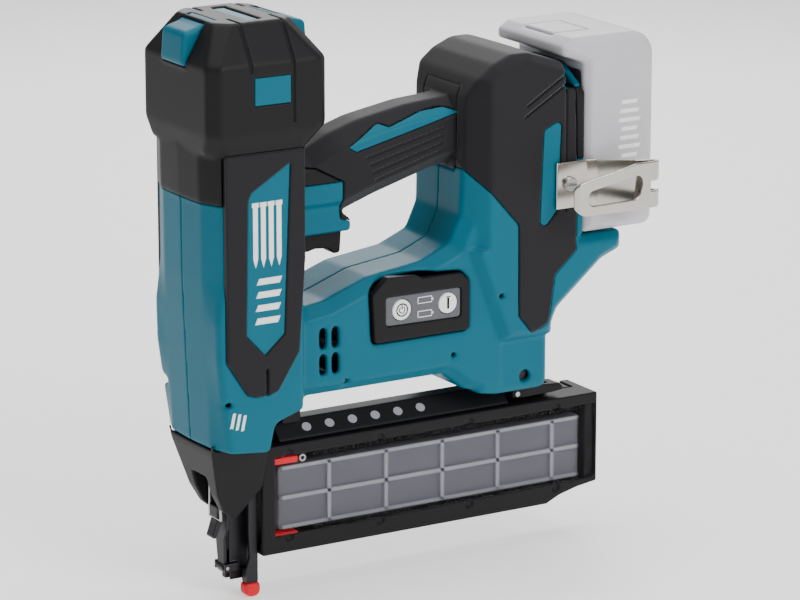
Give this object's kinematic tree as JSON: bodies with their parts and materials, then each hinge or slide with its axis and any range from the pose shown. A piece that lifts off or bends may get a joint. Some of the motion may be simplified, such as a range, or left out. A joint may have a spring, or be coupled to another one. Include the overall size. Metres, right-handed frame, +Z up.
{
  "type": "brad nailer",
  "caption": "Cordless brad nailer with an upright drive column, loop handle, long side-loading magazine, belt hook and slide-on battery.",
  "frame": {"origin": "where the nose tip touches the work, on the drive axis", "axes": "+Z up along the drive axis, +X towards the handle and battery, -Y is the tool's left side"},
  "size_m": [0.2937, 0.1039, 0.332],
  "materials": {
    "blue_green_plastic": "fine moulded texture",
    "black_rubber": "matt overmould",
    "black_plastic": "satin moulded",
    "grey_plastic": "satin moulded",
    "pale_pack": "satin moulded",
    "steel": "machined",
    "polished_steel": "polished strip",
    "black_steel": "black oxide",
    "alloy": "die cast",
    "red_cap": "soft cap",
    "red_plastic": "moulded",
    "clear_window": "clear polycarbonate",
    "label_grey": "printed membrane",
    "white_button": "moulded",
    "copper_iron": "laminated iron and windings",
    "green_board": "resin board"
  },
  "bodies": {
    "tool": {"housing_left": "blue_green_plastic", "housing_right": "blue_green_plastic", "cap_inlays": "blue_green_plastic", "badge_plates": "blue_green_plastic", "grip_inlays": "blue_green_plastic", "rear_inlays": "blue_green_plastic", "head_cap": "black_plastic", "badge_frame_left": "black_rubber", "badge_frame_right": "black_rubber", "grip_overmould": "black_rubber", "rear_overmould": "black_rubber", "nose_cover": "black_plastic", "housing_screws": "steel", "pressure_chamber": "alloy", "cylinder": "alloy", "stop_bumper": "black_rubber", "gear_bracket": "alloy", "stator": "copper_iron", "motor_bearings": "steel", "circuit_board": "green_board", "driver_guide": "black_steel", "nose_hinge_pin": "steel", "contact_spring": "steel", "magazine_rail": "black_plastic", "magazine_core": "grey_plastic", "latch_pin": "steel", "trigger_pin": "steel", "trigger_spring": "steel", "trigger_switch": "black_plastic", "control_bezel": "black_plastic", "control_panel": "label_grey", "belt_hook": "polished_steel", "hook_screw": "steel", "terminal_block": "black_plastic", "battery_rails": "black_plastic"},
    "driver": {"piston": "alloy", "piston_seal": "black_rubber", "driver_blade": "steel"},
    "lifter": {"lifter_wheel": "steel", "lifter_shaft": "steel", "lifter_gear": "steel"},
    "motor_rotor": {"rotor": "steel", "motor_fan": "grey_plastic"},
    "contact": {"contact_arm": "black_steel", "contact_tip": "red_cap"},
    "dial": {"depth_dial": "grey_plastic"},
    "nose_door": {"nose_plate": "black_steel"},
    "nose_lever": {"latch_lever": "black_steel"},
    "nose_wire": {"latch_wire": "steel"},
    "mag_cover": {"magazine_cover": "black_plastic", "magazine_window": "clear_window"},
    "pusher": {"nail_pusher": "red_plastic", "pusher_spring": "steel"},
    "mag_latch": {"magazine_latch": "black_plastic"},
    "trigger": {"trigger": "black_plastic"},
    "power_key": {"power_button": "white_button"},
    "mode_key": {"mode_button": "white_button"},
    "battery": {"battery_case": "pale_pack", "battery_cells": "grey_plastic"},
    "battery_catch": {"battery_button": "pale_pack"}
  },
  "joints": [
    {"name": "driver_stroke", "type": "slide", "parent": "tool", "child": "driver", "axis": [0, 0, -1], "range_m": [0, 0.075]},
    {"name": "lifter_spin", "type": "hinge", "parent": "tool", "child": "lifter", "pos_m": [0, 0.0155, 0.146], "axis": [1, 0, 0], "range_deg": [0, 287]},
    {"name": "rotor_spin", "type": "hinge", "parent": "tool", "child": "motor_rotor", "pos_m": [0, 0, 0.146], "axis": [1, 0, 0], "range_deg": [-603, 0]},
    {"name": "contact_slide", "type": "slide", "parent": "tool", "child": "contact", "axis": [0, 0, 1], "range_m": [0, 0.008], "stiffness_N_per_m": 150, "springref_m": -0.004, "deforming": ["contact_spring"]},
    {"name": "depth_turn", "type": "hinge", "parent": "tool", "child": "dial", "pos_m": [0.0095, 0.02, 0.105], "axis": [0, 0, 1], "continuous": true},
    {"name": "nose_door_hinge", "type": "hinge", "parent": "tool", "child": "nose_door", "pos_m": [-0.0116, 0, 0.017], "axis": [0, -1, 0], "range_deg": [0, 70]},
    {"name": "nose_lever_hinge", "type": "hinge", "parent": "nose_door", "child": "nose_lever", "pos_m": [-0.0156, 0, 0.052], "axis": [0, 1, 0], "range_deg": [0, 75]},
    {"name": "nose_wire_hinge", "type": "hinge", "parent": "nose_lever", "child": "nose_wire", "pos_m": [-0.0164, 0, 0.0465], "axis": [0, 1, 0], "range_deg": [-75, 0]},
    {"name": "cover_slide", "type": "slide", "parent": "tool", "child": "mag_cover", "axis": [1, 0, 0], "range_m": [0, 0.15]},
    {"name": "pusher_slide", "type": "slide", "parent": "mag_cover", "child": "pusher", "axis": [1, 0, 0], "range_m": [0, 0.165], "stiffness_N_per_m": 12, "springref_m": -0.1},
    {"name": "magazine_latch_hinge", "type": "hinge", "parent": "tool", "child": "mag_latch", "pos_m": [0.176, 0, 0.093], "axis": [0, -1, 0], "range_deg": [0, 14], "stiffness_Nm_per_rad": 0.2, "springref_deg": -5.73},
    {"name": "trigger_pull", "type": "hinge", "parent": "tool", "child": "trigger", "pos_m": [0.043, 0, 0.2095], "axis": [0, -1, 0], "range_deg": [0, 8], "stiffness_Nm_per_rad": 0.3, "springref_deg": -8.59, "deforming": ["trigger_spring"]},
    {"name": "power_press", "type": "slide", "parent": "tool", "child": "power_key", "axis": [0, 1, 0], "range_m": [0, 0.0006], "stiffness_N_per_m": 1500, "springref_m": -0.0003},
    {"name": "mode_press", "type": "slide", "parent": "tool", "child": "mode_key", "axis": [0, 1, 0], "range_m": [0, 0.0006], "stiffness_N_per_m": 1500, "springref_m": -0.0003},
    {"name": "battery_slide", "type": "slide", "parent": "tool", "child": "battery", "axis": [0, 0, 1], "range_m": [0, 0.11]},
    {"name": "battery_button_press", "type": "slide", "parent": "battery", "child": "battery_catch", "axis": [0, 0, -1], "range_m": [0, 0.0025], "stiffness_N_per_m": 1500, "springref_m": -0.0006}
  ],
  "couplings": [
    {"joint": "lifter_spin", "follows": "driver_stroke", "rad_per_m": 66.667},
    {"joint": "rotor_spin", "follows": "driver_stroke", "rad_per_m": -140},
    {"joint": "nose_wire_hinge", "follows": "nose_lever_hinge", "ratio": -1}
  ]
}
